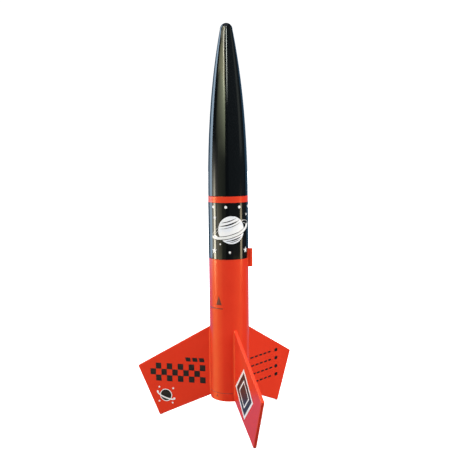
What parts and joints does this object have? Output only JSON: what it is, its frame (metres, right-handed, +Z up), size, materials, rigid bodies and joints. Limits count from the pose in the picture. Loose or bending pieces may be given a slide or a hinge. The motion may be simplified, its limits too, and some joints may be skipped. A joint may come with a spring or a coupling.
{
  "type": "model rocket",
  "caption": "Slim display-ready flying model rocket: ogive nose on a straight tube, swept fins with drooping tips that it stands on, launch lug, motor mount and rolled parachute inside.",
  "frame": {"origin": "on the surface it stands on, under the centre of its bounding box; the tube's axis is at x = 0, y = 25.23 mm", "axes": "+Z up along the tube towards the nose tip, -Y towards the front fin, +X to the right seen from the front"},
  "size_m": [0.1812, 0.157, 0.4165],
  "materials": {
    "painted_tube": "gloss",
    "painted_balsa": "gloss",
    "black_plastic": "gloss",
    "white_plastic": "satin",
    "kraft_paper": "matte",
    "spring_steel": "satin",
    "white_paper": "matte",
    "elastic": "matte",
    "canopy_film": "satin",
    "shroud_thread": "matte",
    "black_decal": "gloss",
    "clear_decal": "gloss"
  },
  "bodies": {
    "airframe": {"body_tube": "painted_tube", "fin_front": "painted_balsa", "fin_right": "painted_balsa", "fin_left": "painted_balsa", "launch_lug": "painted_tube", "motor_tube": "kraft_paper", "thrust_ring": "kraft_paper", "centring_ring_aft": "kraft_paper", "centring_ring_forward": "kraft_paper", "hook_band": "white_paper", "shock_cord_mount": "white_paper", "wrap_decal": "black_decal", "fin_decal_left_panel": "clear_decal", "fin_decal_left_strip": "clear_decal", "fin_decal_left_roundel": "clear_decal", "fin_decal_right": "clear_decal", "fin_decal_front": "clear_decal"},
    "nose": {"nose_cone": "black_plastic", "nose_base": "white_plastic", "shock_cord": "elastic", "shroud_lines": "shroud_thread"},
    "parachute": {"parachute_canopy": "canopy_film"},
    "hook": {"motor_hook": "spring_steel"}
  },
  "joints": [
    {"name": "nose_slide", "type": "slide", "parent": "airframe", "child": "nose", "axis": [0, 0, 1], "range_m": [0, 0.18]},
    {"name": "parachute_slide", "type": "slide", "parent": "nose", "child": "parachute", "axis": [0, 0, -1], "range_m": [0, 0.03]},
    {"name": "hook_flex", "type": "hinge", "parent": "airframe", "child": "hook", "pos_m": [0, 0.03518, 0.088], "axis": [1, 0, 0], "range_deg": [0, 3], "stiffness_Nm_per_rad": 0.05}
  ],
  "couplings": [
    {"joint": "parachute_slide", "follows": "nose_slide", "ratio": 0.16667}
  ]
}
